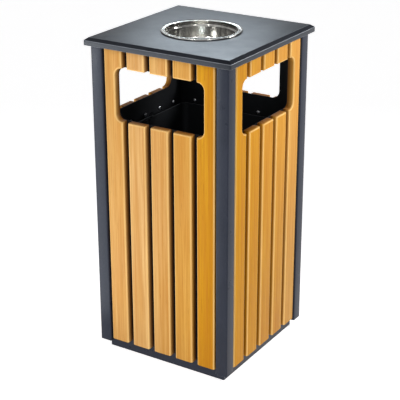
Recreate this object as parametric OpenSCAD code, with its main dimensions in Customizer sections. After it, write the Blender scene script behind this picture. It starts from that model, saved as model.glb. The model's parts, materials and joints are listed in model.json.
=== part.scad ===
// Square litter bin with timber slats on four sides, a throw-in opening in each side, a hinged
// lid with a lift-out ashtray, and a steel liner inside.
// Axes: +X right, -Y front, +Z up. Origin: centre of the base, on the ground.

/* [Overall] */
// Width of the square lid
lid_w = 400; // [380:5:480]
// Height from the ground to the lid's flat top
total_h = 815; // [680:5:980]
// Distance that the lid stands out past the corner posts
lid_overhang = 12; // [10:0.5:15]

/* [Corner posts] */
// Width of a post's visible leg
post_leg = 32; // [28:1:40]
// Sheet thickness of the posts
post_t = 2; // [1.5:0.5:3]
// Height of the posts' lower ends above the ground
post_ground_gap = 22.5; // [18:0.5:30]
// Length of the post flange that is riveted to a panel
post_flange = 9; // [8:0.5:10]

/* [Slats] */
// Number of slats on each side
slat_count = 5; // [5:2:7]
// Thickness of a slat
slat_t = 18; // [15:1:22]
// Gap between two slats
slat_gap = 14.5; // [10:0.5:18]
// Gap between an end slat and a post
slat_end_gap = 4.5; // [3:0.5:8]
// Depth of the slats' faces behind the posts' faces
slat_recess = 1; // [0:0.5:2]
// Radius of a slat's rounded long edges
slat_round = 5; // [2:0.5:7]
// Height of the slats' lower ends above the ground
slat_ground_gap = 32; // [28:0.5:40]
// Depth of the slats' upper ends below the lid's top
slat_top_gap = 10; // [8:0.5:14]

/* [Openings] */
// Width of a throw-in opening
opening_w = 244; // [180:2:256]
// Height of a throw-in opening
opening_h = 129; // [90:1:160]
// Depth of an opening's upper edge below the lid's top
opening_drop = 65; // [60:1:90]
// Corner radius of an opening
opening_r = 20; // [10:1:28]

/* [Panels and base] */
// Sheet thickness of the inner panels
panel_t = 1.5; // [1:0.5:2]
// Sheet thickness of the base tray
tray_t = 2.5; // [2:0.5:4]
// Height of the base tray's outer wall
tray_h = 34; // [34:0.5:44]
// Height of the tray's stepped wall that carries the panels
tray_step_h = 20; // [16:1:26]
// Distance between ground anchor holes
anchor_pitch = 260; // [200:5:270]
// Radius of a ground anchor hole
anchor_r = 5.5; // [4:0.5:7]
// Distance between drain holes
drain_pitch = 120; // [80:5:150]
// Radius of a drain hole
drain_r = 5; // [3:0.5:8]

/* [Top frame] */
// Sheet thickness of the top frame
frame_t = 2; // [1.5:0.5:3]
// Depth of the top frame's upright leg
frame_leg = 28; // [24:1:32]
// Width of the top frame's flat rim outside its upright leg
frame_rim = 11.5; // [8:0.5:12]

/* [Lid] */
// Sheet thickness of the lid
lid_t = 2; // [1.5:0.5:2.5]
// Height of the lid's upright edge
lid_edge_h = 11.8; // [8:0.2:14]
// Height of the lid's sloping edge
lid_bevel_h = 6.7; // [4:0.1:9]
// Width of the lid's sloping edge
lid_bevel_w = 9.7; // [6:0.1:10]
// Depth of the collar round the ashtray hole
lid_collar_h = 10; // [6:1:16]

/* [Ashtray] */
// Radius of the ashtray's outer rim
ash_rim_r = 97.5; // [90:0.5:110]
// Width of the ashtray's flat rim
ash_rim_w = 10.5; // [8:0.5:14]
// Depth of the ashtray's upper step
ash_step_h = 12; // [8:1:16]
// Width of the ashtray's ledge
ash_ledge_w = 4.5; // [3:0.5:8]
// Inside depth of the ashtray
ash_depth = 46; // [35:1:60]
// Sheet thickness of the ashtray
ash_t = 1; // [0.8:0.1:1.5]
// Height of the ashtray's rolled rim
ash_rim_h = 3.5; // [2.5:0.5:5]

/* [Liner] */
// Clearance between the liner's rim and the top frame
liner_gap = 12.5; // [6:0.5:30]
// Depth of the liner's rim below the lower edge of the openings
liner_drop = 48; // [20:1:60]
// Sheet thickness of the liner
liner_t = 1; // [0.8:0.1:1.5]
// Outer corner radius of the liner
liner_r = 18; // [12:1:25]
// Width and height of the liner's folded rim
liner_rim = 3; // [2:0.5:3.5]
// Radius of the handle's rod
handle_r = 3; // [2.5:0.5:4]
// Bend radius of the handle's corners
handle_bend = 12; // [8:1:20]

/* [Hinges] */
// Width of a hinge
hinge_w = 20; // [18:1:22]
// Outer radius of a hinge knuckle
knuckle_r = 5; // [4.5:0.1:5.2]
// Radius of a hinge pin
hinge_pin_r = 2.5; // [2:0.25:3]
// Height of a hinge's lower leaf
hinge_leaf_h = 34; // [30:1:45]

/* [Fasteners] */
// Radius of a slat screw's shank
screw_r = 2; // [1.5:0.25:2.5]
// Radius of a slat screw's head
screw_head_r = 4.5; // [3.5:0.25:5.5]
// Height of a slat screw's head
screw_head_h = 2.5; // [2:0.25:3]
// Depth of a slat screw in its slat
screw_bite = 12; // [8:0.5:13]
// Radius of a rivet's shank
rivet_r = 1.6; // [1.2:0.1:2]
// Radius of a rivet's head
rivet_head_r = 3.2; // [2.6:0.1:3.6]

/* [Fits] */
// Clearance between bodies that move apart
move_gap = 0.3; // [0.2:0.1:0.5]
// Radial clearance of a pin in its bore
running_fit = 0.05; // [0.02:0.01:0.1]
// Radial clearance of a fastener in its hole
hole_fit = 0.1; // [0.05:0.05:0.5]

/* [Hidden] */
$fn = 64;
eps = 0.01;
side_names = ["front", "right", "rear", "left"];
corner_names = ["front_left", "front_right", "rear_right", "rear_left"];
both = [-1, 1];

// Plan sizes, measured from the centre
post_out = lid_w / 2 - lid_overhang;
slat_front = post_out - slat_recess;
panel_out = slat_front - slat_t;
panel_in = panel_out - panel_t;
field_w = 2 * (post_out - post_leg - slat_end_gap);
slat_w = (field_w - (slat_count - 1) * slat_gap) / slat_count;
slat_pitch = slat_w + slat_gap;
return_in = post_out - post_leg;

// Heights
post_top_gap = 2.5;
panel_top_gap = 3;
lid_edge_z = total_h - lid_bevel_h - lid_edge_h;
lid_under_z = total_h - lid_t;
frame_top_z = lid_under_z - move_gap;
frame_leg_z = frame_top_z - frame_leg;
post_top_z = frame_top_z - frame_t - post_top_gap;
slat_top_z = total_h - slat_top_gap;
panel_top_z = slat_top_z - panel_top_gap;
open_top_z = total_h - opening_drop;
open_low_z = open_top_z - opening_h;
tray_top_z = tray_h + tray_step_h;
liner_low_z = tray_t + move_gap;
liner_top_z = open_low_z - liner_drop;

// Rows of slat screws, from the lowest up: the last one is above the opening
row_below_opening = 45;
row_above_tray = 21;
row_low_z = tray_top_z + row_above_tray;
row_high_z = open_low_z - row_below_opening;
screw_rows = [row_low_z, (row_low_z + row_high_z) / 2, row_high_z, (open_top_z + frame_leg_z) / 2];

// Rivets: a column on each post flange, and a pair each at the tray and the top frame, in the
// outermost gaps between slats
rivet_head_h = 1.2;
rivet_tail_r = 1.5 * rivet_r;
rivet_tail_h = 1.5;
rivet_inset = 60;
rivet_count = 4;
rivet_low_z = tray_top_z + rivet_inset;
rivet_high_z = panel_top_z - rivet_inset;
rivet_span = (rivet_high_z - rivet_low_z) / (rivet_count - 1);
rivet_rows = [for (k = [0 : rivet_count - 1]) rivet_low_z + k * rivet_span];
flange_rivet_x = (return_in + post_t + rivet_tail_r + panel_in - rivet_head_r) / 2;
rivet_heads_meet = flange_rivet_x + rivet_head_r > panel_in - rivet_head_h;
rivet_stagger = rivet_heads_meet ? 3 * rivet_head_r : 0;
gap_rivet_x = (slat_count / 2 - 1) * slat_pitch;
frame_rivet_z = frame_leg_z + frame_leg / 3;
tray_rivet_z = tray_h + tray_step_h / 2;

// Lid and ashtray
lid_flat = lid_w / 2 - lid_bevel_w;
lid_slope_z = lid_edge_z + lid_edge_h;
ash_side_gap = 1;
ash_mouth_r = ash_rim_r - ash_rim_w;
lid_hole_r = ash_mouth_r + ash_t + ash_side_gap;
ash_top_z = total_h + move_gap + ash_rim_h;
ash_floor_z = ash_top_z - ash_depth;
ash_ledge_z = ash_top_z - ash_step_h;
ash_wall_r = ash_mouth_r - ash_ledge_w;
ash_corner_r = 7;

// Liner, and the handle that lies on its rim and turns in two ears
liner_w = 2 * (panel_in - frame_t - liner_gap - liner_rim);
ear_t = 2;
ear_r = 11;
ear_foot = 24;
arm_gap = 0.5;
handle_z = liner_top_z + handle_r + 2 * move_gap;
ear_x = liner_w / 2 - liner_t - ear_t;
arm_x = ear_x - arm_gap - handle_r;
bar_y = liner_w / 2 + (liner_rim - liner_t) / 2;
pin_end_x = ear_x + ear_t + liner_t + arm_gap;

// Hinges
post_gap = 1.5;
edge_gap = 1;
hinge_x = return_in + post_t + hinge_w / 2;
hinge_y = post_out + knuckle_r + post_gap;
hinge_z = lid_edge_z - knuckle_r - edge_gap;
centre_w = hinge_w / 3 - move_gap;
leaf_t = 2;
leaf_top_z = hinge_z - knuckle_r - edge_gap;
leaf_low_z = leaf_top_z - hinge_leaf_h;
hinge_screw_r = 2.4;
hinge_head_r = 1.7 * hinge_screw_r;
hinge_head_h = 2;
hinge_screw_end = 6;
hinge_screw_z = [leaf_low_z + hinge_leaf_h / 4, leaf_low_z + 3 * hinge_leaf_h / 4];

mid_slats = [for (i = [2 : slat_count - 1]) i];
function slat_nodes(side) = concat(
    [str(side, "_slat_1")],
    [for (i = mid_slats, part = ["upper", "lower"]) str(side, "_slat_", i, "_", part)],
    [str(side, "_slat_", slat_count)]
);

// Shared shapes

// A square shell between two half-widths, from z_low to z_high
module square_ring(out, in, z_low, z_high) {
    difference() {
        translate([-out, -out, z_low])
            cube([2 * out, 2 * out, z_high - z_low]);
        translate([-in, -in, z_low - 1])
            cube([2 * in, 2 * in, z_high - z_low + 2]);
    }
}

// A rounded rectangle about the origin
module round_rect(w, h, r) {
    square([w - 2 * r, h], center = true);
    square([w, h - 2 * r], center = true);
    for (x = both, y = both)
        translate([x * (w / 2 - r), y * (h / 2 - r)])
            circle(r);
}

// A square column with rounded upright corners
module round_column(w, r, z_low, z_high) {
    translate([0, 0, z_low])
        linear_extrude(z_high - z_low)
            round_rect(w, w, r);
}

// Turns a shape made for the front face to face number i: front, right, rear, left
module on_face(i) {
    rotate([0, 0, 90 * i])
        children();
}

// The cutter for one throw-in opening, through everything from y = -far to y = -near
module opening_cutter(far, near) {
    translate([0, -near, (open_low_z + open_top_z) / 2])
        rotate([90, 0, 0])
            linear_extrude(far - near)
                round_rect(opening_w, opening_h, opening_r);
}

// A cylinder along Y on the front face, from y = -far to y = -near
module front_peg(x, z, r, far, near) {
    translate([x, -near, z])
        rotate([90, 0, 0])
            cylinder(h = far - near, r = r);
}

// Rivets or their holes in the outermost gaps between slats of every side, at height z
module gap_pegs(z, r, far, near) {
    for (i = [0 : 3], s = both)
        on_face(i)
            front_peg(s * gap_rivet_x, z, r, far, near);
}

// Rivets or their holes along every post flange; where the heads of neighbouring faces would
// meet in a corner, the side faces' rivets sit lower
module flange_pegs(r, far, near) {
    for (i = [0 : 3], s = both, z = rivet_rows)
        on_face(i)
            front_peg(s * flange_rivet_x, z - (i % 2) * rivet_stagger, r, far, near);
}

// Hinge screws or their holes on the rear posts
module hinge_pegs(r, far, near) {
    for (s = both, z = hinge_screw_z)
        on_face(2)
            front_peg(s * hinge_x, z, r, far, near);
}

// Base tray: floor plate, outer wall and the stepped wall inside the panels
module base_tray() {
    color([0.24, 0.26, 0.29])
        difference() {
            union() {
                square_ring(panel_out, panel_out - tray_t, 0, tray_h);
                square_ring(panel_out, panel_in - tray_t, tray_h - tray_t, tray_h);
                square_ring(panel_in, panel_in - tray_t, tray_h - tray_t, tray_top_z);
                translate([-panel_out, -panel_out, 0])
                    cube([2 * panel_out, 2 * panel_out, tray_t]);
            }
            for (x = both, y = both) {
                translate([x * anchor_pitch / 2, y * anchor_pitch / 2, -1])
                    cylinder(h = tray_t + 2, r = anchor_r);
                translate([x * drain_pitch / 2, y * drain_pitch / 2, -1])
                    cylinder(h = tray_t + 2, r = drain_r);
            }
            gap_pegs(tray_rivet_z, rivet_r + hole_fit, panel_out + 1, panel_in - tray_t - 1);
        }
}

// Section of the post at the front left corner, seen from above
module post_section() {
    translate([-post_out, -post_out]) {
        square([post_leg, post_t]);
        square([post_t, post_leg]);
    }
    translate([-return_in - post_t, -post_out])
        square([post_t, post_out - panel_out]);
    translate([-post_out, -return_in - post_t])
        square([post_out - panel_out, post_t]);
    translate([-return_in - post_t - post_flange, -panel_out - post_t])
        square([post_flange + post_t, post_t]);
    translate([-panel_out - post_t, -return_in - post_t - post_flange])
        square([post_t, post_flange + post_t]);
}

// The post at the front left, turned to corner i; the rear posts carry the hinges
module corner_post(i) {
    color([0.35, 0.37, 0.41])
        difference() {
            translate([0, 0, post_ground_gap])
                linear_extrude(post_top_z - post_ground_gap)
                    rotate(90 * i)
                        post_section();
            flange_pegs(rivet_r + hole_fit, panel_out + post_t + 1, panel_out - 1);
            hinge_pegs(hinge_screw_r + hole_fit, post_out + 1, post_out - post_t - 1);
        }
}

// The front and rear panels run the full width, and the side panels fit between them
function panel_half(i) = i % 2 == 0 ? panel_out : panel_in;

// Centre of slat number n on its face
function slat_x(n) = (n - (slat_count + 1) / 2) * slat_pitch;

module side_panel(i) {
    color([0.1, 0.1, 0.11])
        difference() {
            on_face(i)
                difference() {
                    translate([-panel_half(i), -panel_out, tray_h])
                        cube([2 * panel_half(i), panel_t, panel_top_z - tray_h]);
                    opening_cutter(panel_out + 1, panel_in - 1);
                    for (n = [1 : slat_count], z = screw_rows)
                        front_peg(slat_x(n), z, screw_r + hole_fit, panel_out + 1, panel_in - 1);
                }
            flange_pegs(rivet_r + hole_fit, panel_out + 1, panel_in - 1);
            gap_pegs(tray_rivet_z, rivet_r + hole_fit, panel_out + 1, panel_in - 1);
            gap_pegs(frame_rivet_z, rivet_r + hole_fit, panel_out + 1, panel_in - 1);
        }
}

// Top frame: an angle ring inside the panels, with a flat rim that covers the slats' ends
module top_frame() {
    color([0.3, 0.32, 0.35])
        difference() {
            union() {
                square_ring(panel_in, panel_in - frame_t, frame_leg_z, frame_top_z);
                square_ring(panel_in + frame_rim, panel_in - frame_t, frame_top_z - frame_t, frame_top_z);
            }
            gap_pegs(frame_rivet_z, rivet_r + hole_fit, panel_in + 1, panel_in - frame_t - 1);
        }
}

// Cross-section of a slat about its centre, with its face at y = -slat_front
module slat_section() {
    r = min(slat_round, slat_w / 2);
    translate([-slat_w / 2, -slat_front + r])
        square([slat_w, slat_t - r]);
    translate([-slat_w / 2 + r, -slat_front])
        square([slat_w - 2 * r, r + eps]);
    for (s = both)
        translate([s * (slat_w / 2 - r), -slat_front + r])
            circle(r);
}

// A slat piece between two heights, with a pilot hole for each screw row in its length
module slat_piece(i, n, z_low, z_high) {
    tint = 0.04 * ((3 * n + 2 * i) % 4);
    color([0.86 - tint, 0.64 - tint, 0.32 - tint])
        on_face(i)
            difference() {
                translate([slat_x(n), 0, z_low])
                    linear_extrude(z_high - z_low)
                        slat_section();
                opening_cutter(slat_front + 1, panel_out - 1);
                for (z = screw_rows)
                    if (z > z_low && z < z_high)
                        front_peg(slat_x(n), z, screw_r + hole_fit, panel_out + screw_bite + 1, panel_out - 1);
            }
}

// The screws of one side, driven from inside through the panel into the slats
module slat_screws(i) {
    color([0.75, 0.76, 0.78])
        on_face(i)
            for (n = [1 : slat_count], z = screw_rows) {
                front_peg(slat_x(n), z, screw_r, panel_out + screw_bite, panel_in - eps);
                front_peg(slat_x(n), z, screw_head_r, panel_in, panel_in - screw_head_h);
            }
}

// Rivets have their heads inside the bin and their tails outside
module panel_rivets() {
    flange_far = panel_out + post_t;
    tray_near = panel_in - tray_t;
    frame_near = panel_in - frame_t;
    color([0.7, 0.71, 0.73]) {
        flange_pegs(rivet_r, flange_far + eps, panel_in - eps);
        flange_pegs(rivet_head_r, panel_in, panel_in - rivet_head_h);
        flange_pegs(rivet_tail_r, flange_far + rivet_tail_h, flange_far);
        gap_pegs(tray_rivet_z, rivet_r, panel_out + eps, tray_near - eps);
        gap_pegs(tray_rivet_z, rivet_head_r, tray_near, tray_near - rivet_head_h);
        gap_pegs(tray_rivet_z, rivet_tail_r, panel_out + rivet_tail_h, panel_out);
        gap_pegs(frame_rivet_z, rivet_r, panel_out + eps, frame_near - eps);
        gap_pegs(frame_rivet_z, rivet_head_r, frame_near, frame_near - rivet_head_h);
        gap_pegs(frame_rivet_z, rivet_tail_r, panel_out + rivet_tail_h, panel_out);
    }
}

// A square block from z_low up to the flat, narrowed at the top by the sloping edge
module bevelled_block(half, flat, z_low, slope_z, z_top) {
    outline = [
        [-half, z_low], [half, z_low], [half, slope_z],
        [flat, z_top], [-flat, z_top], [-half, slope_z]
    ];
    intersection() {
        translate([0, half, 0])
            rotate([90, 0, 0])
                linear_extrude(2 * half)
                    polygon(outline);
        rotate([0, 0, 90])
            translate([0, half, 0])
                rotate([90, 0, 0])
                    linear_extrude(2 * half)
                        polygon(outline);
    }
}

module lid_shell() {
    difference() {
        bevelled_block(lid_w / 2, lid_flat, lid_edge_z, lid_slope_z, total_h);
        bevelled_block(lid_w / 2 - lid_t, lid_flat - lid_t / 2, lid_edge_z - 1,
            lid_slope_z - lid_t / 2, lid_under_z);
    }
}

module lid() {
    color([0.42, 0.44, 0.48])
        difference() {
            union() {
                lid_shell();
                translate([0, 0, lid_under_z - lid_collar_h])
                    cylinder(h = lid_collar_h + eps, r = lid_hole_r + lid_t, $fn = 128);
            }
            translate([0, 0, lid_under_z - lid_collar_h - 1])
                cylinder(h = lid_collar_h + lid_t + 2, r = lid_hole_r, $fn = 128);
        }
}

// Ashtray: a spun bowl with a rolled rim, a step and a rounded floor edge
module ashtray() {
    under = total_h + move_gap;
    c = ash_corner_r;
    color([0.82, 0.83, 0.85])
        difference() {
            rotate_extrude($fn = 128) {
                translate([0, ash_floor_z - ash_t])
                    square([ash_wall_r + ash_t - c, ash_ledge_z - ash_floor_z]);
                translate([0, ash_floor_z - ash_t + c])
                    square([ash_wall_r + ash_t, ash_ledge_z - ash_floor_z - c]);
                translate([ash_wall_r + ash_t - c, ash_floor_z - ash_t + c])
                    circle(c);
                translate([0, ash_ledge_z - ash_t])
                    square([ash_mouth_r + ash_t, ash_step_h]);
                translate([0, ash_top_z - ash_t])
                    square([ash_rim_r - ash_rim_h / 2, ash_t]);
                translate([ash_rim_r - ash_rim_h / 2, under + ash_rim_h / 2])
                    circle(ash_rim_h / 2);
            }
            rotate_extrude($fn = 128) {
                translate([0, ash_floor_z])
                    square([ash_wall_r - c, ash_depth + 1]);
                translate([0, ash_floor_z + c])
                    square([ash_wall_r, ash_depth + 1]);
                translate([ash_wall_r - c, ash_floor_z + c])
                    circle(c);
                translate([0, ash_ledge_z])
                    square([ash_mouth_r, ash_step_h + 1]);
            }
        }
}

// A hinge's lower leaf, with its two outer knuckles, screwed to the post's rear face
module hinge_leaf(s) {
    side_w = (hinge_w - centre_w) / 2 - move_gap;
    color([0.2, 0.21, 0.23])
        difference() {
            union() {
                translate([s * hinge_x - hinge_w / 2, post_out, leaf_low_z])
                    cube([hinge_w, leaf_t, hinge_leaf_h]);
                for (side = both)
                    translate([s * hinge_x + side * (hinge_w - side_w) / 2, 0, 0]) {
                        translate([-side_w / 2, post_out, leaf_low_z])
                            cube([side_w, leaf_t, hinge_z - leaf_low_z]);
                        translate([-side_w / 2, hinge_y, hinge_z])
                            rotate([0, 90, 0])
                                cylinder(h = side_w, r = knuckle_r);
                    }
            }
            translate([s * hinge_x - hinge_w, hinge_y, hinge_z])
                rotate([0, 90, 0])
                    cylinder(h = 2 * hinge_w, r = hinge_pin_r + running_fit);
            hinge_pegs(hinge_screw_r + hole_fit, post_out + leaf_t + 1, post_out - 1);
        }
}

// A hinge's upper leaf, with its centre knuckle, welded inside the lid's upright edge
module lid_leaf(s) {
    rim_in = lid_w / 2 - lid_t;
    plate_low_z = lid_edge_z + edge_gap;
    plate_top_z = lid_slope_z - lid_t / 2 - move_gap;
    color([0.2, 0.21, 0.23])
        difference() {
            union() {
                translate([s * hinge_x - centre_w / 2, hinge_y, hinge_z])
                    rotate([0, 90, 0])
                        cylinder(h = centre_w, r = knuckle_r);
                translate([s * hinge_x - centre_w / 2, rim_in - leaf_t, hinge_z])
                    cube([centre_w, leaf_t, plate_top_z - hinge_z]);
                translate([s * hinge_x - hinge_w / 2, rim_in - leaf_t, plate_low_z])
                    cube([hinge_w, leaf_t, plate_top_z - plate_low_z]);
            }
            translate([s * hinge_x - hinge_w, hinge_y, hinge_z])
                rotate([0, 90, 0])
                    cylinder(h = 2 * hinge_w, r = hinge_pin_r + running_fit);
        }
}

module hinge_pins() {
    color([0.75, 0.76, 0.78])
        for (s = both)
            translate([s * hinge_x - hinge_w / 2, hinge_y, hinge_z])
                rotate([0, 90, 0])
                    cylinder(h = hinge_w, r = hinge_pin_r);
}

module hinge_screws() {
    seat = post_out + leaf_t;
    color([0.75, 0.76, 0.78]) {
        hinge_pegs(hinge_screw_r, seat + eps, post_out - post_t - hinge_screw_end);
        hinge_pegs(hinge_head_r, seat + hinge_head_h, seat);
    }
}

// Liner: an open square bucket with a folded rim
module liner() {
    color([0.1, 0.1, 0.11])
        difference() {
            union() {
                round_column(liner_w, liner_r, liner_low_z, liner_top_z);
                round_column(liner_w + 2 * liner_rim, liner_r + liner_rim, liner_top_z - liner_rim, liner_top_z);
            }
            round_column(liner_w - 2 * liner_t, liner_r - liner_t, liner_low_z + liner_t, liner_top_z + 1);
        }
}

// Ears inside the liner's left and right walls that carry the handle
module liner_ears() {
    color([0.1, 0.1, 0.11])
        for (s = [0, 1])
            rotate([0, 0, 180 * s])
                difference() {
                    union() {
                        translate([ear_x, -ear_r, handle_z - ear_foot])
                            cube([ear_t, 2 * ear_r, ear_foot]);
                        translate([ear_x, 0, handle_z])
                            rotate([0, 90, 0])
                                cylinder(h = ear_t, r = ear_r);
                    }
                    translate([ear_x - 1, 0, handle_z])
                        rotate([0, 90, 0])
                            cylinder(h = ear_t + 2, r = handle_r + running_fit);
                }
}

// Handle: one bent rod that lies on the front rim and swings over to the rear
module liner_handle() {
    reach = bar_y - handle_bend;
    color([0.1, 0.1, 0.11])
        translate([0, 0, handle_z]) {
            for (s = both) {
                translate([s * arm_x, -reach, 0])
                    rotate([-90, 0, 0])
                        cylinder(h = reach, r = handle_r);
                translate([s * arm_x, 0, 0]) {
                    sphere(handle_r);
                    rotate([0, 90 * s, 0])
                        cylinder(h = pin_end_x - arm_x, r = handle_r);
                }
            }
            translate([-arm_x + handle_bend, -bar_y, 0])
                rotate([0, 90, 0])
                    cylinder(h = 2 * (arm_x - handle_bend), r = handle_r);
            for (s = [0, 1])
                mirror([s, 0, 0])
                    translate([arm_x - handle_bend, -reach, 0])
                        rotate([0, 0, -90])
                            rotate_extrude(angle = 90)
                                translate([handle_bend, 0])
                                    circle(handle_r);
        }
}

base_tray();
for (i = [0 : 3])
    corner_post(i);
for (i = [0 : 3])
    side_panel(i);
top_frame();
for (i = [0 : 3], n = [1, slat_count])
    slat_piece(i, n, slat_ground_gap, slat_top_z);
for (i = [0 : 3], n = mid_slats)
    slat_piece(i, n, open_top_z, slat_top_z);
for (i = [0 : 3], n = mid_slats)
    slat_piece(i, n, slat_ground_gap, open_low_z);
for (i = [0 : 3])
    slat_screws(i);
panel_rivets();
lid();
ashtray();
hinge_leaf(-1);  // left_hinge_leaf
hinge_leaf(1);  // right_hinge_leaf
lid_leaf(-1);  // left_lid_leaf
lid_leaf(1);  // right_lid_leaf
hinge_pins();
hinge_screws();
liner();
liner_ears();
liner_handle();
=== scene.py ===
import json
import math
import random

import bmesh
import bpy
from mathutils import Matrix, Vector


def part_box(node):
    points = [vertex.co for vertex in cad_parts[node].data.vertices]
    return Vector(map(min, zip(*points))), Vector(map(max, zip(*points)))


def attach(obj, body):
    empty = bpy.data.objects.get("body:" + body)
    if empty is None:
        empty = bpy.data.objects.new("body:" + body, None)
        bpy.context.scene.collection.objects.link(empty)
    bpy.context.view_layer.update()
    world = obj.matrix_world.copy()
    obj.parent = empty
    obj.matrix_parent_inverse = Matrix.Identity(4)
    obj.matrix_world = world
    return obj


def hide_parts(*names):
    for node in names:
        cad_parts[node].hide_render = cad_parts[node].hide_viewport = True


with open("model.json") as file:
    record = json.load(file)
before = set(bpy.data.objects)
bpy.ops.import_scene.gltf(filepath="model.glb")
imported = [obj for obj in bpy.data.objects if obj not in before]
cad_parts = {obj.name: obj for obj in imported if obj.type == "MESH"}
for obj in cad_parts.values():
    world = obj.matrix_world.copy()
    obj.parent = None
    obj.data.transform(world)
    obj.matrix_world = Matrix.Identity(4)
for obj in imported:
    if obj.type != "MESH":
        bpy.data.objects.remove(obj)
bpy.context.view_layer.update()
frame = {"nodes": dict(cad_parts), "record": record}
MM = 0.001
SIDES = ("front", "right", "rear", "left")
CORNERS = ("front_left", "front_right", "rear_right", "rear_left")
BODY_OF = {n: b for b, nodes in frame["record"]["behaviour"]["bodies"].items() for n in nodes}


# Mesh tools. Sizes are in millimetres; the meshes are in metres.

SHARP_ANGLE = math.radians(38)
# Vertices nearer than this, in metres, are one
TOUCH = 1e-6


def add_object(name, data):
    """An object in the scene for a mesh, a light or a camera."""
    ob = bpy.data.objects.new(name, data)
    bpy.context.scene.collection.objects.link(ob)
    return ob


def make(node, bm, material):
    """A mesh object that stands for a CAD node and has its name."""
    bmesh.ops.recalc_face_normals(bm, faces=bm.faces)
    me = bpy.data.meshes.new(node)
    bm.to_mesh(me)
    bm.free()
    me.shade_smooth()
    me.set_sharp_from_angle(angle=SHARP_ANGLE)
    ob = add_object(node, me)
    me.materials.append(material)
    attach(ob, BODY_OF[node])
    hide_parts(node)


def new_bm(*layers):
    """An empty bmesh whose vertices carry a number for each name."""
    bm = bmesh.new()
    for name in layers:
        bm.verts.layers.float.new(name)
    return bm


def vertex(bm, point, **numbers):
    """A vertex at a point, with numbers for the layers of those names."""
    v = bm.verts.new([c * MM for c in point])
    for name, number in numbers.items():
        v[bm.verts.layers.float[name]] = number
    return v


def loft(bm, loops, capped=True):
    """Faces between successive loops of vertices and, if capped, over the first and the last."""
    n = len(loops[0])
    for a, b in zip(loops, loops[1:]):
        for i in range(n):
            j = (i + 1) % n
            corners = list(dict.fromkeys([a[i], a[j], b[j], b[i]]))
            if len(corners) > 2:
                bm.faces.new(corners)
    if capped:
        bm.faces.new(loops[0][::-1])
        bm.faces.new(loops[-1])


def rotated(x, y, angle):
    """The point (x, y) turned about the origin."""
    c, s = math.cos(angle), math.sin(angle)
    return x * c - y * s, x * s + y * c


def turned(i):
    """Turns a point made for the front face to face number i."""
    c, s = ((1, 0), (0, 1), (-1, 0), (0, -1))[i]
    return lambda x, y, z: (x * c - y * s, x * s + y * c, z)


def fillet_path(points, steps):
    """Rounds the corners of an open path of (x, y, radius) and gives (x, y, edge).

    The edge value, where wear and a painted highlight show, is 0 on the straights and rises to 1 in the
    middle of a bend.
    """
    out = []
    for k, (x, y, r) in enumerate(points):
        if r == 0:
            out.append((x, y, 0.0))
            continue
        p = Vector((x, y))
        back = Vector(points[k - 1][:2]) - p
        ahead = Vector(points[k + 1][:2]) - p
        half = back.angle(ahead) / 2
        back.normalize()
        ahead.normalize()
        cut = r / math.tan(half)
        centre = p + (back + ahead).normalized() * (r / math.sin(half))
        start = p + back * cut - centre
        turn = start.angle_signed(p + ahead * cut - centre)
        for i in range(steps + 1):
            share = i / steps
            dx, dy = rotated(start.x, start.y, -turn * share)
            out.append((centre.x + dx, centre.y + dy, math.sin(math.pi * (0.15 + 0.7 * share))))
    return out


def square_ring(bm, half, r, z, e, arc, side):
    """A loop round a square with rounded corners: arc steps round a corner, side steps along a side."""
    flat = half - r
    quarter = []
    for i in range(arc + 1):
        dx, dy = rotated(r, 0, math.pi / 2 * (i / arc - 1))
        quarter.append((flat + dx, dy - flat))
    for i in range(1, side):
        quarter.append((half, flat * (2 * i / side - 1)))
    loop = [rotated(x, y, math.pi / 2 * k) for k in range(4) for x, y in quarter]
    return [vertex(bm, (x, y, z), edge=e) for x, y in loop]


def circle_ring(bm, r, z, e, arc, side):
    """A loop on a circle, with as many vertices as square_ring and in line with them."""
    n = 4 * (arc + side)
    start = -math.pi / 4 - math.pi * arc / n
    loop = [rotated(r, 0, start + 2 * math.pi * i / n) for i in range(n)]
    return [vertex(bm, (x, y, z), edge=e) for x, y in loop]


def polar_ring(bm, radii, z, place):
    """A loop round Z with one vertex for each radius, put in its place."""
    loop = [rotated(r, 0, 2 * math.pi * i / len(radii)) for i, r in enumerate(radii)]
    return [vertex(bm, place(x, y, z)) for x, y in loop]


def lathe(bm, profile, segments, place):
    """Spins (radius, height) points round Z; a zero radius closes the surface at a point."""
    loops = []
    for r, z in profile:
        if r == 0:
            loops.append([vertex(bm, place(0, 0, z))] * segments)
        else:
            loops.append(polar_ring(bm, [r] * segments, z, place))
    loft(bm, loops, capped=False)


# Material tools

def srgb(r, g, b):
    """An sRGB colour of 0 to 255 as the linear colour that shaders take."""
    return [((c / 255 + 0.055) / 1.055) ** 2.4 if c > 10 else c / 255 / 12.92 for c in (r, g, b)] + [1.0]


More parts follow.
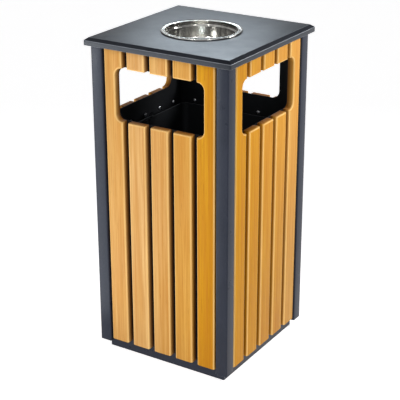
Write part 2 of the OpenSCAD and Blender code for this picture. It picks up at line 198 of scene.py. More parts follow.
class Nodes:
    """A small builder for the node tree of a material or a world."""

    def __init__(self, owner, shader):
        self.owner = owner
        owner.use_nodes = True
        self.tree = owner.node_tree
        self.shader = self.tree.nodes[shader]

    def add(self, kind, **settings):
        node = self.tree.nodes.new(kind)
        for key, value in settings.items():
            setattr(node, key, value)
        return node

    def link(self, a, b):
        self.tree.links.new(a, b)

    def feed(self, socket, x):
        """Sets an input to a constant, or links another node's output to it."""
        if isinstance(x, bpy.types.NodeSocket):
            self.link(x, socket)
        else:
            socket.default_value = x

    def fill(self, node, **inputs):
        for key, x in inputs.items():
            self.feed(node.inputs[key.replace("_", " ")], x)

    def coords(self, scale=(1, 1, 1), board=0.0):
        """Object coordinates times a scale for each axis, in noise cells per metre.

        The mesh's board number moves them on, so that no two boards show the same grain.
        """
        mapping = self.add("ShaderNodeMapping")
        texture = self.add("ShaderNodeTexCoord")
        self.fill(mapping, Vector=texture.outputs["Object"], Scale=scale)
        if board:
            shift = self.add("ShaderNodeVectorMath", operation="SCALE")
            shift.inputs[0].default_value = (board, 0.61 * board, 0.37 * board)
            self.fill(shift, Scale=self.attr("board"))
            self.fill(mapping, Location=shift.outputs["Vector"])
        return mapping.outputs["Vector"]

    def attr(self, name):
        return self.add("ShaderNodeAttribute", attribute_name=name).outputs["Fac"]

    def split(self, vector):
        node = self.add("ShaderNodeSeparateXYZ")
        self.link(vector, node.inputs[0])
        return node.outputs

    def join(self, x, y):
        node = self.add("ShaderNodeCombineXYZ")
        self.fill(node, X=x, Y=y)
        return node.outputs[0]

    def levelness(self):
        """How level the surface lies: 1 on level faces, 0 on upright ones."""
        return self.math("ABSOLUTE", self.split(self.add("ShaderNodeNewGeometry").outputs["Normal"])[2])

    def noise(self, vector, scale, detail=3.0, rough=0.55, distort=0.0):
        node = self.add("ShaderNodeTexNoise")
        self.fill(node, Vector=vector, Scale=scale, Detail=detail, Roughness=rough, Distortion=distort)
        return node.outputs["Fac"]

    def remap(self, value, lo, hi, to_lo=0.0, to_hi=1.0):
        node = self.add("ShaderNodeMapRange", clamp=True)
        self.fill(node, Value=value, From_Min=lo, From_Max=hi, To_Min=to_lo, To_Max=to_hi)
        return node.outputs["Result"]

    def math(self, kind, *operands):
        node = self.add("ShaderNodeMath", operation=kind)
        for socket, x in zip(node.inputs, operands):
            self.feed(socket, x)
        return node.outputs[0]

    def mix(self, factor, a, b):
        """The colour a, turned into the colour b as the factor rises from 0 to 1."""
        node = self.add("ShaderNodeMix", data_type="RGBA")
        colour_a, colour_b = node.inputs[6], node.inputs[7]
        self.link(factor, node.inputs["Factor"])
        self.feed(colour_a, a)
        self.feed(colour_b, b)
        return node.outputs[2]

    def bump(self, height, strength, distance):
        node = self.add("ShaderNodeBump")
        self.fill(node, Height=height, Strength=strength, Distance=distance)
        return node.outputs["Normal"]

    def out(self, **sockets):
        self.fill(self.shader, **sockets)
        return self.owner


def surface(name):
    return Nodes(bpy.data.materials.new(name), "Principled BSDF")


# Materials

def timber():
    """Oiled hardwood along Z, golden or pale slat by slat, under clouds, streaks, fibre and pores; on the
    front and right faces the paleness is partly a painted sheen.

    The arrises are painted pale, as rubbed wear and painted highlight. The slats' sides are painted darker
    deeper in the gaps, as painted shade, and the sawn ends are dark.
    """
    n = surface("slat_timber")
    fibre = n.noise(n.coords((420, 420, 6), 9.0), 1.0, 4.0, 0.65)
    streak = n.noise(n.coords((150, 150, 2.4), 13.0), 1.0, 4.0, 0.6)
    band = n.noise(n.coords((34, 34, 1.1), 17.0), 1.0, 3.0, 0.5, 0.6)
    cloud = n.noise(n.coords((9, 9, 3.2), 5.0), 1.0, 2.0)
    pore = n.remap(n.noise(n.coords((900, 900, 26), 3.0), 1.0, 2.0), 0.64, 0.76)
    bands = n.remap(band, 0.3, 0.7)
    golden = n.mix(bands, srgb(196, 139, 12), srgb(178, 118, 4))
    pale = n.mix(bands, srgb(214, 176, 122), srgb(195, 150, 92))
    # Pale slats: their own paler tone, and on the front and right faces a painted sheen
    base = n.mix(n.attr("tint"), golden, pale)
    base = n.mix(n.remap(cloud, 0.3, 0.75, 0.0, 0.3), base, srgb(200, 149, 32))
    base = n.mix(n.remap(streak, 0.44, 0.66, 0.0, 0.45), base, srgb(172, 104, 18))
    base = n.mix(n.remap(fibre, 0.42, 0.70, 0.0, 0.42), base, srgb(160, 92, 14))
    base = n.mix(n.math("MULTIPLY", pore, 0.45), base, srgb(98, 54, 10))
    # Pale arrises: rubbed wear and a painted highlight on the rounded edges
    rubbed_and_highlight = n.math("MULTIPLY", n.attr("edge"), n.remap(fibre, 0.3, 0.6, 0.35, 0.75))
    base = n.mix(rubbed_and_highlight, base, srgb(250, 210, 138))
    # Painted shade: the slats' sides darken deeper into the gaps between slats
    painted_gap_shade = n.remap(n.attr("depth"), 0.15, 0.8, 0.0, 0.85)
    base = n.mix(painted_gap_shade, base, srgb(84, 46, 10))
    sawn_end = n.remap(n.levelness(), 0.6, 0.95, 0.0, 0.45)
    base = n.mix(sawn_end, base, srgb(150, 92, 34))
    rough = n.remap(n.math("ADD", fibre, pore), 0.3, 1.1, 0.45, 0.6)
    height = n.math("SUBTRACT", n.math("MULTIPLY", n.math("ADD", fibre, streak), 0.5), pore)
    return n.out(Base_Color=base, Roughness=rough, Normal=n.bump(height, 0.25, 0.0004),
                 Specular_IOR_Level=0.08)


def coat(name, dark, light, rough, dust, wear_and_highlight, gloss):
    """Fine powder coat: orange peel, mottled between two colours, pale dust specks, and pale edges that
    are wear and painted highlight.
    """
    n = surface(name)
    at = n.coords()
    grain = 1500.0
    mottle = n.noise(at, 14.0, 4.0, 0.6)
    peel = n.noise(at, grain, 2.0, 0.5)
    speck = n.remap(n.noise(at, 0.6 * grain, 1.0), 0.64, 0.72)
    base = n.mix(n.remap(mottle, 0.3, 0.7), dark, light)
    base = n.mix(n.math("MULTIPLY", speck, dust), base, srgb(150, 154, 160))
    # Pale edges: wear and a painted highlight along the bends' arrises
    scuff_and_highlight = n.remap(n.noise(at, 60.0, 5.0, 0.7), 0.35, 0.65, 0.55 * wear_and_highlight, wear_and_highlight)
    arris = n.remap(n.attr("edge"), 0.5, 0.95)
    base = n.mix(n.math("MULTIPLY", arris, scuff_and_highlight), base, srgb(168, 174, 182))
    return n.out(Base_Color=base, Roughness=n.remap(mottle, 0.25, 0.75, rough - 0.05, rough + 0.06),
                 Normal=n.bump(peel, 0.25, 0.00012), Specular_IOR_Level=gloss,
                 Specular_Tint=[0.84, 0.92, 1.0, 1.0])


def stainless():
    """Spun stainless: turning lines, and painted dark reflections on the walls at both ends of one axis.
    """
    n = surface("stainless")
    at = n.coords()
    axis_x, axis_y = 0.85, 0.53
    lines_per_m = 900.0
    x, y, z = n.split(at)
    radius = n.math("SQRT", n.math("ADD", n.math("POWER", x, 2.0), n.math("POWER", y, 2.0)))
    height = n.math("MULTIPLY", z, lines_per_m)
    lines = n.noise(n.join(n.math("MULTIPLY", radius, lines_per_m), height), 1.0, 3.0, 0.6)
    safe = n.math("MAXIMUM", radius, 0.001)
    dir_x, dir_y = n.math("DIVIDE", x, safe), n.math("DIVIDE", y, safe)
    along = n.math("ADD", n.math("MULTIPLY", dir_x, axis_x), n.math("MULTIPLY", dir_y, axis_y))
    ragged = n.noise(n.join(dir_x, dir_y), 9.0, 2.0, 0.6)
    # Painted reflection: dark upright streaks on the walls at both ends of the axis
    painted_reflection = n.remap(n.math("ADD", n.math("ABSOLUTE", along), ragged), 0.9, 1.25)
    upright = n.remap(n.levelness(), 0.35, 0.9, 0.8, 0.0)
    stain = n.noise(at, 40.0, 3.0)
    base = n.mix(n.remap(stain, 0.35, 0.75, 0.0, 0.4), srgb(246, 245, 240), srgb(226, 224, 216))
    base = n.mix(n.math("MULTIPLY", painted_reflection, upright), base, srgb(52, 52, 54))
    tangent = n.add("ShaderNodeTangent", direction_type="RADIAL", axis="Z").outputs[0]
    return n.out(Base_Color=base, Metallic=1.0, Roughness=n.remap(lines, 0.3, 0.7, 0.10, 0.2),
                 Anisotropic=0.4, Tangent=tangent, Normal=n.bump(lines, 0.12, 0.0001))


def plated(name, pale, dull, rough):
    """Small bright fasteners: metal that is clouded and duller in places."""
    n = surface(name)
    at = n.coords()
    cloud = n.noise(at, 220.0, 3.0)
    base = n.mix(n.remap(cloud, 0.3, 0.7), pale, dull)
    return n.out(Base_Color=base, Metallic=1.0, Roughness=n.remap(cloud, 0.3, 0.7, rough, rough + 0.12),
                 Normal=n.bump(n.noise(at, 1400.0, 2.0), 0.15, 0.0001))


def white_floor():
    """Matt white that glows a little, so that the floor renders white."""
    n = surface("floor")
    tone = n.noise(n.coords(), 6.0, 3.0)
    base = n.mix(n.remap(tone, 0.3, 0.7), [0.86, 0.86, 0.86, 1], [0.88, 0.88, 0.88, 1])
    return n.out(Base_Color=base, Roughness=0.9, Emission_Color=[1, 1, 1, 1], Emission_Strength=0.7)


# Each coat's pale edges, strongest on the lid, are wear and painted highlight
POST = coat("powder_coat", srgb(31, 34, 45), srgb(37, 40, 52), 0.3, dust=0.12, wear_and_highlight=0.25, gloss=0.2)
LID = coat("lid_coat", srgb(28, 30, 36), srgb(35, 37, 44), 0.36, dust=0.08, wear_and_highlight=0.55, gloss=0.35)
# The panels' near-black, darker than the posts' anthracite, is partly painted shade for the dark inside
# and the gaps between slats
PANEL_BLACK_SHADE = coat("panel_black", srgb(6, 6, 8), srgb(9, 9, 11), 0.6, dust=0.02, wear_and_highlight=0.04, gloss=0.2)
# The liner's black paint, also on its ears and handle, partly stands in for the shade inside the bin
LINER_BLACK_SHADE = coat("liner_black", srgb(4, 4, 6), srgb(7, 7, 9), 0.6, dust=0.02, wear_and_highlight=0.08, gloss=0.2)
TIMBER = timber()
STEEL = stainless()
ZINC = plated("zinc_plate", srgb(214, 216, 220), srgb(176, 178, 184), 0.22)
ALU = plated("rivet_aluminium", srgb(206, 208, 212), srgb(168, 170, 174), 0.32)


def span(node):
    """The low and the high corner of a CAD node's box, in millimetres."""
    lo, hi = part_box(node)
    return [c / MM for c in lo], [c / MM for c in hi]


# Slats. Outlines are drawn in the front face's X and Z, and run on past the sawn ends by CUT.

CUT = 12.0
# Rounding of the long front edges, and of the sawn ends
ROUND, ROUND_STEPS = 5.0, 8
END_EASE = 0.9
# Length of a facet in the outline's round corners, and the fewest facets of a corner
ARC_STEP, LEAST_ARC_STEPS = 1.5, 3
(_, FACE, Z_LOW), (_, BACK, Z_HIGH) = span("front_slat_1")
OPEN_LOW = span("front_slat_3_lower")[1][2]
OPEN_HIGH = span("front_slat_3_upper")[0][2]
# Half the opening's width, the radius of its corners, and that of the slats' corners beside it
OPEN_HALF = 122.0
NOTCH_R = 17.0
CORNER_R = 2.0
LOW, HIGH = Z_LOW - CUT, Z_HIGH + CUT
# How pale each slat is, from the left of its face to the right: board tone, and on the front and right
# faces also a painted sheen that changes across the face
TINTS_AND_SHEEN = {"front": (0.7, 1.0, 0.75, 0.35, 0.0), "right": (0.0, 0.05, 0.15, 0.25, 0.5),
         "rear": (0.1, 0.6, 0.0, 0.4, 0.2), "left": (0.3, 0.0, 0.7, 0.2, 0.5)}
# How much paler an upper piece is than the lower one, and how far its grain is moved on
UPPER_TINT, UPPER_BOARD = 0.1, 0.31


def outline(corners):
    """Rounded outline with right-angled corners.

    Each point is its corner's centre, the normal there, the radius, whether the corner is hollow,
    and the sum of the normals of the corner's two sides.
    """
    n = len(corners)
    points = []
    for k, (x, z, r) in enumerate(corners):
        p = Vector((x, z))
        u = (p - Vector(corners[k - 1][:2])).normalized()
        v = (Vector(corners[(k + 1) % n][:2]) - p).normalized()
        nu, nv = Vector((u.y, -u.x)), Vector((v.y, -v.x))
        hollow = u.x * v.y - u.y * v.x < 0
        centre = p - u * r + v * r
        steps = max(LEAST_ARC_STEPS, int(r / ARC_STEP)) if r else 1
        for i in range(steps + 1):
            t = math.pi / 2 * i / steps
            points.append((centre, nu * math.cos(t) + nv * math.sin(t), r, hollow, nu + nv))
    return points


def inset(points, d):
    """The outline moved inwards by d; a corner rounder than d stays round, another turns sharp."""
    out = []
    for centre, normal, r, hollow, both in points:
        if hollow:
            out.append(centre - normal * (r + d))
        elif d <= r:
            out.append(centre + normal * (r - d))
        else:
            out.append(centre - both * (d - r))
    return out


def slat(node, i, corners, cuts, board, tint):
    """A slat of face i with rounded front edges; its sawn ends are cut square and eased."""
    bm = new_bm("edge", "board", "tint", "depth")
    points = outline(corners)
    levels = [(0.0, BACK, 0.0)]
    for k in range(ROUND_STEPS + 1):
        t = math.pi / 2 * k / ROUND_STEPS
        levels.append((ROUND * (1 - math.cos(t)), FACE + ROUND * (1 - math.sin(t)), math.sin(2 * t) ** 2))
    loops = []
    for d, y, e in levels:
        depth = (y - FACE) / (BACK - FACE)
        loops.append([vertex(bm, (p.x, y, p.y), edge=e, depth=depth) for p in inset(points, d)])
    loft(bm, loops)
    bmesh.ops.remove_doubles(bm, verts=bm.verts, dist=TOUCH)
    for z, up in cuts:
        bmesh.ops.bisect_plane(bm, geom=bm.verts[:] + bm.edges[:] + bm.faces[:], dist=TOUCH / 10,
                               plane_co=(0, 0, z * MM), plane_no=(0, 0, up), clear_outer=True)
        bmesh.ops.edgenet_fill(bm, edges=[e for e in bm.edges if e.is_boundary])
        rim = [e for e in bm.edges if all(abs(v.co.z - z * MM) < TOUCH for v in e.verts)]
        bmesh.ops.bevel(bm, geom=rim, offset=END_EASE * MM, segments=2, profile=0.5, affect="EDGES")
    place = turned(i)
    layers = bm.verts.layers.float
    for v in bm.verts:
        v.co = place(*v.co)
        v[layers["board"]] = board
        v[layers["tint"]] = tint
    make(node, bm, TIMBER)


def slat_sides(number):
    """The X of the left and the right side of slat 1 to 5, for the front face."""
    lo, hi = span(f"front_slat_{number}" if number in (1, 5) else f"front_slat_{number}_lower")
    return lo[0], hi[0]


def end_slat_corners(number):
    """Corners (x, z, radius) of a whole slat, notched by its end of the opening."""
    a, b = slat_sides(number)
    if number == 1:
        return [(a, LOW, 0), (b, LOW, 0),
                (b, OPEN_LOW, CORNER_R), (-OPEN_HALF, OPEN_LOW, NOTCH_R),
                (-OPEN_HALF, OPEN_HIGH, NOTCH_R), (b, OPEN_HIGH, CORNER_R),
                (b, HIGH, 0), (a, HIGH, 0)]
    return [(a, LOW, 0), (b, LOW, 0), (b, HIGH, 0), (a, HIGH, 0),
            (a, OPEN_HIGH, CORNER_R), (OPEN_HALF, OPEN_HIGH, NOTCH_R),
            (OPEN_HALF, OPEN_LOW, NOTCH_R), (a, OPEN_LOW, CORNER_R)]


def build_slats():
    """Five slats a side: the end ones whole, each one between in a long lower and a short upper piece."""
    rng = random.Random(7)
    at_foot, at_head = (Z_LOW, -1), (Z_HIGH, 1)
    for i, side in enumerate(SIDES):
        for number, tint in enumerate(TINTS_AND_SHEEN[side], 1):
            stem = f"{side}_slat_{number}"
            board = rng.random()
            if number in (1, 5):
                slat(stem, i, end_slat_corners(number), (at_foot, at_head), board, tint)
                continue
            a, b = slat_sides(number)
            lower = [(a, LOW, 0), (b, LOW, 0), (b, OPEN_LOW, CORNER_R), (a, OPEN_LOW, CORNER_R)]
            upper = [(a, OPEN_HIGH, CORNER_R), (b, OPEN_HIGH, CORNER_R), (b, HIGH, 0), (a, HIGH, 0)]
            slat(f"{stem}_lower", i, lower, (at_foot,), board, tint)
            slat(f"{stem}_upper", i, upper, (at_head,), board + UPPER_BOARD, min(1.0, tint + UPPER_TINT))


build_slats()


# Lid: a folded pan with a collar round its hole

(_, _, LID_EDGE), (LID_HALF, _, LID_TOP) = span("lid")
LID_T = 2.0
SLOPE_W, SLOPE_H = 9.7, 6.7
FLAT, SLOPE_Z = LID_HALF - SLOPE_W, LID_TOP - SLOPE_H
HOLE_R, COLLAR_H = 89.0, 10.0
COLLAR_R = HOLE_R + LID_T
COLLAR_Z = LID_TOP - LID_T - COLLAR_H
# Where the mesh of the pan passes into that of the collar
SEAM_R = COLLAR_R + 4
# Radius of the pan's corners in plan, and how much of it each millimetre inwards takes away
PLAN_R, PLAN_TAPER = 4.0, 0.28
LID_STEPS = {"arc": 6, "side": 8}


def build_lid():
    bm = new_bm("edge")
    under, skirt = LID_TOP - LID_T, LID_HALF - LID_T
    pan = fillet_path([(SEAM_R, LID_TOP, 0), (FLAT, LID_TOP, 2.5), (LID_HALF, SLOPE_Z, 2.0),
                       (LID_HALF, LID_EDGE, 0.8), (skirt, LID_EDGE, 0.8),
                       (skirt, SLOPE_Z - 1, 1.0), (FLAT - 1, under, 1.0), (SEAM_R, under, 0)], 4)
    collar = fillet_path([(SEAM_R, under, 0), (COLLAR_R, under, 1.0), (COLLAR_R, COLLAR_Z, 0.7),
                          (HOLE_R, COLLAR_Z, 0.7), (HOLE_R, LID_TOP, 1.5), (SEAM_R, LID_TOP, 0)], 4)
    loops = [circle_ring(bm, *pan[0], **LID_STEPS)]
    for half, z, e in pan[1:-1]:
        r = PLAN_R - (LID_HALF - half) * PLAN_TAPER
        loops.append(square_ring(bm, half, r, z, e, **LID_STEPS))
    for point in pan[-1:] + collar[1:-1]:
        loops.append(circle_ring(bm, *point, **LID_STEPS))
    loops.append(loops[0])
    loft(bm, loops, capped=False)
    make("lid", bm, LID)


build_lid()


# Ashtray: a spun bowl with a ledge, and a dished rim between a small inner roll and an outer bead

_, (RIM_R, _, RIM_TOP) = span("ashtray")
BOWL_DEPTH, BOWL_T, BOWL_BEND = 46.0, 1.0, 7.0
BOWL_SEGMENTS = 160
# The wall stands inside the mouth, from the ledge down
WALL_R, MOUTH_R = 82.5, 87.0
LEDGE_Z = RIM_TOP - 12
# The inner roll, the dish beside it, and how far below the rim's top each lies
ROLL_W, ROLL_DROP = 2.6, 0.4
DISH_IN, DISH_DROP = 4.6, 1.6
DISH_OUT, DISH_END_DROP = 2.6, 1.2
BEAD_R = 1.75
BEAD_TURN, BEAD_STEPS = math.pi * 1.35, 12
UNDER_RIM = 2.7


def build_ashtray():
    bm = new_bm()
    floor = RIM_TOP - BOWL_DEPTH
    roll_z = RIM_TOP - ROLL_DROP
    inside = fillet_path([(0, floor, 0), (WALL_R, floor, BOWL_BEND),
                          (WALL_R, LEDGE_Z, 1.2), (MOUTH_R, LEDGE_Z, 1.5),
                          (MOUTH_R, roll_z, 1.3), (MOUTH_R + ROLL_W, roll_z, 1.0),
                          (MOUTH_R + DISH_IN, RIM_TOP - DISH_DROP, 1.6),
                          (RIM_R - DISH_OUT, RIM_TOP - DISH_END_DROP, 0.5),
                          (RIM_R - BEAD_R - 0.4, RIM_TOP - 0.05, 0)], 8)
    bead = []
    for k in range(BEAD_STEPS + 1):
        dr, dz = rotated(BEAD_R, 0, math.pi / 2 - BEAD_TURN * k / BEAD_STEPS)
        bead.append((RIM_R - BEAD_R + dr, RIM_TOP - BEAD_R + dz, 0))
    outer_mouth, outer_wall = MOUTH_R + BOWL_T, WALL_R + BOWL_T
    outside = fillet_path([(RIM_R - BEAD_R, RIM_TOP - UNDER_RIM, 0),
                           (outer_mouth, RIM_TOP - UNDER_RIM, 0.5), (outer_mouth, LEDGE_Z - BOWL_T, 1.5),
                           (outer_wall, LEDGE_Z - BOWL_T, 1.2), (outer_wall, floor - BOWL_T, BOWL_BEND),
                           (0, floor - BOWL_T, 0)], 8)
    profile = [(r, z) for r, z, _ in inside[:-1] + bead + outside[1:]]
    lathe(bm, profile, BOWL_SEGMENTS, turned(0))
    make("ashtray", bm, STEEL)


build_ashtray()


# Corner posts: one bent sheet each, with flanges against the two panels

POST_T, FLANGE = 2.0, 9.0
# Chamfer of the sheet's cut ends
POST_EASE = 0.35
(_, POST_OUT, POST_LOW), (_, POST_IN, POST_HIGH) = span("front_left_post")
PANEL_FACE = span("front_panel")[0][1]


def build_post(i):
    """The post of corner i, drawn as its sheet's middle line for the front left corner.

    Only the hollow side of the bends is painted pale, as wear and painted highlight: the photograph shows
    no pale line on the other side.
    """
    bm = new_bm("edge")
    h = POST_T / 2
    face, leg, flange = POST_OUT + h, POST_IN - h, PANEL_FACE - h
    half_path = [(leg - h - FLANGE, flange, 0), (leg, flange, 1.6), (leg, face, 1.8), (face, face, 2.2)]
    middle = fillet_path(half_path + [(y, x, r) for x, y, r in half_path[-2::-1]], 5)
    n = len(middle)
    place = turned(i)
    loops = []
    for z, ease in ((POST_LOW, POST_EASE), (POST_LOW + POST_EASE, 0),
                    (POST_HIGH - POST_EASE, 0), (POST_HIGH, POST_EASE)):
        hollow, round_side = [], []
        for k, (x, y, e) in enumerate(middle):
            before, after = Vector(middle[max(k - 1, 0)][:2]), Vector(middle[min(k + 1, n - 1)][:2])
            along = (after - before).normalized()
            dx, dy = along.y * (h - ease), -along.x * (h - ease)
            hollow.append(vertex(bm, place(x + dx, y + dy, z), edge=e))
            round_side.append(vertex(bm, place(x - dx, y - dy, z)))
        loops.append(hollow + round_side[::-1])
    loft(bm, loops, capped=False)
    for loop in (loops[0], loops[-1]):
        for k in range(n - 1):
            bm.faces.new([loop[k], loop[k + 1], loop[2 * n - 2 - k], loop[2 * n - 1 - k]])
    make(f"{CORNERS[i]}_post", bm, POST)


for i in range(4):
    build_post(i)


# Liner: a bucket with a rolled rim

LINER_T, LINER_RIM = 1.0, 3.0
# Radius of the wall's corners in plan, the least one on the floor, and the floor's middle square
LINER_CORNER, LEAST_CORNER = 18.0, 2.0
FLOOR_CENTRE = 10.0


def build_liner():
    bm = new_bm("edge")
    (_, _, low), (rim, _, top) = span("liner")
    wall, lip = rim - LINER_RIM, top - LINER_RIM
    inner_wall, inner_floor = wall - LINER_T, low + LINER_T
    profile = fillet_path([(FLOOR_CENTRE, low, 0), (wall, low, 3.0), (wall, lip, 0.4), (rim, lip, 1.2),
                           (rim, top, 1.4), (inner_wall, top, 1.2),
                           (inner_wall, inner_floor, 2.5), (FLOOR_CENTRE, inner_floor, 0)], 5)
    loops = []
    for half, z, e in profile:
        r = max(LEAST_CORNER, LINER_CORNER + half - wall)
        loops.append(square_ring(bm, half, r, z, e, arc=10, side=6))
    loft(bm, loops)
    make("liner", bm, LINER_BLACK_SHADE)


build_liner()


# Fasteners. A shank starts inside its head, by the sink.

SCREW_HEAD_H, SCREW_R, SCREW_TIP, SCREW_TIP_R, SCREW_SINK = 2.5, 2.0, 3.0, 0.3, 0.2
RIVET_HEAD_H, RIVET_TAIL_H, RIVET_R, RIVET_SINK = 1.2, 1.5, 1.6, 0.1
HINGE_HEAD_H, HINGE_R, HINGE_CHAMFER, HINGE_CHAMFER_R, HINGE_SINK = 2.0, 2.4, 1.0, 1.6, 0.1
TAIL_SHARE = 0.75
SHANK_SEGMENTS = 10
RECESS_SHARE, RECESS_FLOOR = 0.42, 0.45
STAR_POINTS, STAR_WAVE = 6, 0.2
# Outlines of heads as (share of the radius, share of the height), from the seat outwards
SCREW_DOME = ((1, 0), (1, 0.3), (0.93, 0.62), (0.74, 0.9), (1.12 * RECESS_SHARE, 1))
RIVET_DOME = ((0, 0), (1, 0), (0.97, 0.35), (0.8, 0.75), (0.5, 1), (0.42, 1), (0.38, 0.7), (0, 0.7))
SCREW_SEGMENTS, RIVET_SEGMENTS, HINGE_SEGMENTS = 24, 16, 12


def screw_head(bm, place, r, h):
    """A domed head with a star-shaped drive recess."""
    loops = [polar_ring(bm, [r * a] * SCREW_SEGMENTS, h * b, place) for a, b in SCREW_DOME]
    star = []
    for i in range(SCREW_SEGMENTS):
        wave = math.cos(STAR_POINTS * 2 * math.pi * i / SCREW_SEGMENTS)
        star.append(r * RECESS_SHARE * (1 - STAR_WAVE + STAR_WAVE * wave))
    for z in (h, h * RECESS_FLOOR):
        loops.append(polar_ring(bm, star, z, place))
    loft(bm, loops)


def rivet_head(bm, place, r, h, seat=0.0):
    """A domed blind-rivet head with the end of its mandrel in the middle."""
    lathe(bm, [(r * a, seat + h * b) for a, b in RIVET_DOME], RIVET_SEGMENTS, place)


def peg_boxes(node):
    """The low and high corner, in millimetres, of every loose shell of a CAD node of pegs."""
    bm = bmesh.new()
    bm.from_mesh(frame["nodes"][node].data)
    bmesh.ops.remove_doubles(bm, verts=bm.verts, dist=TOUCH)
    bm.verts.ensure_lookup_table()
    seen, out = set(), []
    for v in bm.verts:
        if v.index in seen:
            continue
        stack, part = [v], []
        seen.add(v.index)
        while stack:
            w = stack.pop()
            part.append(w.co / MM)
            for e in w.link_edges:
                o = e.other_vert(w)
                if o.index not in seen:
                    seen.add(o.index)
                    stack.append(o)
        out.append([Vector([pick(p[k] for p in part) for k in range(3)]) for pick in (min, max)])
    bm.free()
    return out


def face_of(box):
    """The number of the face that a peg of one of the four faces belongs to."""
    c = (box[0] + box[1]) / 2
    if abs(c.y) > abs(c.x):
        return 0 if c.y < 0 else 2
    return 1 if c.x > 0 else 3


def peg_frame(box, i, head_h, head_way):
    """Sizes and axes of a peg of face i whose head points into the bin (1) or out of it (-1).

    Gives the places for a shape made on Z from the head's seat outwards and for one from the seat
    along the shank, then the head's radius and the shank's length.
    """
    back = turned((4 - i) % 4)
    a, b = back(*box[0]), back(*box[1])
    lo, hi = Vector(map(min, a, b)), Vector(map(max, a, b))
    x, z = (lo.x + hi.x) / 2, (lo.z + hi.z) / 2
    seat = hi.y - head_h if head_way > 0 else lo.y + head_h
    turn = turned(i)

    def outwards(u, v, w):
        return turn(x + u, seat + head_way * w, z - head_way * v)

    def along_shank(u, v, w):
        return turn(x + u, seat - head_way * w, z + head_way * v)
    return outwards, along_shank, (hi.x - lo.x) / 2, hi.y - lo.y - head_h


def build_slat_screws(i):
    """The screws of face i, driven through the panel from the inside; a head is on show there."""
    node = f"{SIDES[i]}_slat_screws"
    bm = new_bm()
    for box in peg_boxes(node):
        outwards, along_shank, r, length = peg_frame(box, i, SCREW_HEAD_H, 1)
        screw_head(bm, outwards, r, SCREW_HEAD_H)
        shank = [(SCREW_R, -SCREW_SINK), (SCREW_R, length - SCREW_TIP), (SCREW_TIP_R, length), (0, length)]
        lathe(bm, shank, SHANK_SEGMENTS, along_shank)
    make(node, bm, ZINC)


def build_rivets():
    """The blind rivets of all four faces: a head inside, a smaller formed tail outside."""
    bm = new_bm()
    for box in peg_boxes("panel_rivets"):
        outwards, along_shank, r, length = peg_frame(box, face_of(box), RIVET_HEAD_H, 1)
        tail_seat = length - RIVET_TAIL_H
        rivet_head(bm, outwards, r, RIVET_HEAD_H)
        rivet_head(bm, along_shank, r * TAIL_SHARE, RIVET_TAIL_H, tail_seat)
        shank = [(RIVET_R, -RIVET_SINK), (RIVET_R, tail_seat + RIVET_SINK)]
        lathe(bm, shank, SHANK_SEGMENTS, along_shank)
    make("panel_rivets", bm, ALU)


def build_hinge_screws():
    """The screws that hold the hinge leaves, driven from behind the bin's rear face."""
    bm = new_bm()
    for box in peg_boxes("hinge_screws"):
        outwards, along_shank, r, length = peg_frame(box, 2, HINGE_HEAD_H, -1)
        screw_head(bm, outwards, r, HINGE_HEAD_H)
        shank = [(HINGE_R, -HINGE_SINK), (HINGE_R, length - HINGE_CHAMFER), (HINGE_CHAMFER_R, length),
                 (0, length)]
        lathe(bm, shank, HINGE_SEGMENTS, along_shank)
    make("hinge_screws", bm, ZINC)


for i in range(4):
    build_slat_screws(i)
build_rivets()
build_hinge_screws()


# CAD nodes that keep their own shape

KEPT = {"base_tray": POST, "top_frame": POST, "left_hinge_leaf": POST, "right_hinge_leaf": POST,
        "left_lid_leaf": POST, "right_lid_leaf": POST, "hinge_pins": ZINC,
        "liner_ears": LINER_BLACK_SHADE, "liner_handle": LINER_BLACK_SHADE}
KEPT.update({f"{side}_panel": PANEL_BLACK_SHADE for side in SIDES})
for node, material in KEPT.items():
    mesh = frame["nodes"][node].data
    mesh.materials.clear()
    mesh.materials.append(material)


# Floor, sky, light and camera, in metres

FLOOR_RADIUS = 40
# Grey by the height that a ray of the sky points to: white at the horizon, dark overhead
SKY_STOPS = ((0.12, 1.0), (0.3, 0.75), (0.55, 0.75), (0.72, 0.5), (0.82, 0.12))
ZENITH = (0.07, 0.07, 0.075, 1)
SKY_BLUE = 1.01
# The sky is strongest in this direction, and has a band of some strength all round the horizon
SIDE_LIGHT = Vector((-0.3, -0.9, 0.0))
SIDE_GAIN = 0.7
BAND_STRENGTH, BAND_FROM, BAND_TO = 0.75, 0.10, 0.13


def build_floor():
    bm = bmesh.new()
    bmesh.ops.create_circle(bm, cap_ends=True, segments=96, radius=FLOOR_RADIUS)
    me = bpy.data.meshes.new("floor")
    bm.to_mesh(me)
    bm.free()
    ob = add_object("floor", me)
    me.materials.append(white_floor())


def build_sky():
    n = Nodes(bpy.data.worlds.new("studio"), "Background")
    bpy.context.scene.world = n.owner
    direction = n.add("ShaderNodeTexCoord").outputs["Generated"]
    height = n.split(direction)[2]
    ramp = n.add("ShaderNodeValToRGB")
    n.link(height, ramp.inputs[0])
    stops = ramp.color_ramp.elements
    stops[0].position, stops[0].color = 0.0, (1.0, 1.0, 1.0, 1)
    stops[1].position, stops[1].color = 1.0, ZENITH
    for position, tone in SKY_STOPS:
        stops.new(position).color = (tone, tone, tone * SKY_BLUE, 1)
    facing = n.add("ShaderNodeVectorMath", operation="DOT_PRODUCT")
    facing.inputs[1].default_value = SIDE_LIGHT
    n.link(direction, facing.inputs[0])
    side = n.math("MULTIPLY_ADD", facing.outputs["Value"], SIDE_GAIN, SIDE_GAIN)
    band = n.remap(height, BAND_FROM, BAND_TO, BAND_STRENGTH, 0.0)
    n.out(Color=ramp.outputs[0], Strength=n.math("MAXIMUM", side, band))


build_floor()
build_sky()


def towards(place, target):
    """The rotation of a lamp at that place that shines at the target."""
    return (Vector(target) - Vector(place)).to_track_quat("-Z", "Y").to_euler()


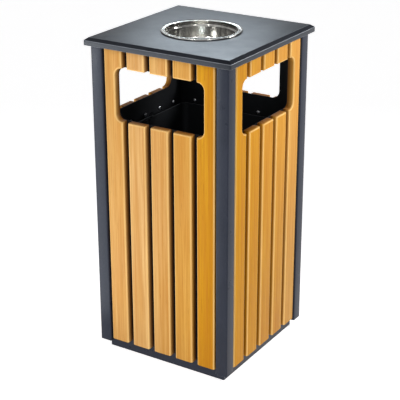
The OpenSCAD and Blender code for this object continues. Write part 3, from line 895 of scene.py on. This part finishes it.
def area(name, place, rotation, size, power, spread=180, colour=(1, 1, 1)):
    """A rectangular lamp that the camera doesn't see, its power in watts and its spread in degrees."""
    light = bpy.data.lights.new(name, "AREA")
    light.shape = "RECTANGLE"
    light.size, light.size_y = size
    light.energy = power
    light.color = colour
    light.spread = math.radians(spread)
    ob = add_object(name, light)
    ob.location = place
    ob.rotation_euler = rotation
    ob.visible_camera = False


# The key lamps lie on the floor and shine up, where the front face's steel mirrors them.
ON_FLOOR = 0.004
FLOOR_TURN = (math.pi, 0, math.radians(-37.7))
STRIP_AIM = (0, 0, 0.8)
STRIP_LEFT, STRIP_RIGHT = (0.38, -2.17, 1.69), (1.78, -1.29, 1.69)
RIGHT_LAMP, TOP_LAMP = (1.0, 0.75, 1.15), (-0.62, 1.0, 1.5)
area("key", (-1.22, -1.50, ON_FLOOR), FLOOR_TURN, (0.5, 3.0), 11)
area("key_far", (-2.55, -2.62, ON_FLOOR), FLOOR_TURN, (1.3, 2.6), 85)
area("strip_left", STRIP_LEFT, towards(STRIP_LEFT, STRIP_AIM), (0.22, 0.8), 8)
area("strip_right", STRIP_RIGHT, towards(STRIP_RIGHT, STRIP_AIM), (0.22, 0.8), 8)
area("right", RIGHT_LAMP, towards(RIGHT_LAMP, (0.19, 0.1, 0.65)), (0.3, 0.5), 3.2, spread=80)
area("top", TOP_LAMP, towards(TOP_LAMP, (0.05, -0.1, 0.815)), (0.5, 0.5), 5.2, colour=(0.80, 0.91, 1.0))

AZIMUTH, ELEVATION, DISTANCE = math.radians(31.916), math.radians(21.825), 2.9541
TARGET = Vector((0.0292, -0.0181, 0.4252))
SENSOR_MM, FOCAL_MM = 36, 107.7795
SHIFT_X, SHIFT_Y = -0.02, -0.03
CLIP_NEAR, CLIP_FAR = 0.05, 120


def build_camera():
    """A camera on a sphere round TARGET; its azimuth turns from the front face to the right one."""
    across, up = math.cos(ELEVATION), math.sin(ELEVATION)
    back = Vector((math.sin(AZIMUTH) * across, -math.cos(AZIMUTH) * across, up))
    camera = bpy.data.cameras.new("camera")
    camera.sensor_width = SENSOR_MM
    camera.lens = FOCAL_MM
    camera.shift_x, camera.shift_y = SHIFT_X, SHIFT_Y
    camera.clip_start, camera.clip_end = CLIP_NEAR, CLIP_FAR
    ob = add_object("camera", camera)
    ob.location = TARGET + back * DISTANCE
    ob.rotation_mode = "QUATERNION"
    ob.rotation_quaternion = (-back).to_track_quat("-Z", "Y")
    bpy.context.scene.camera = ob


build_camera()
bpy.context.scene.view_settings.view_transform = "Standard"

bpy.context.view_layer.update()
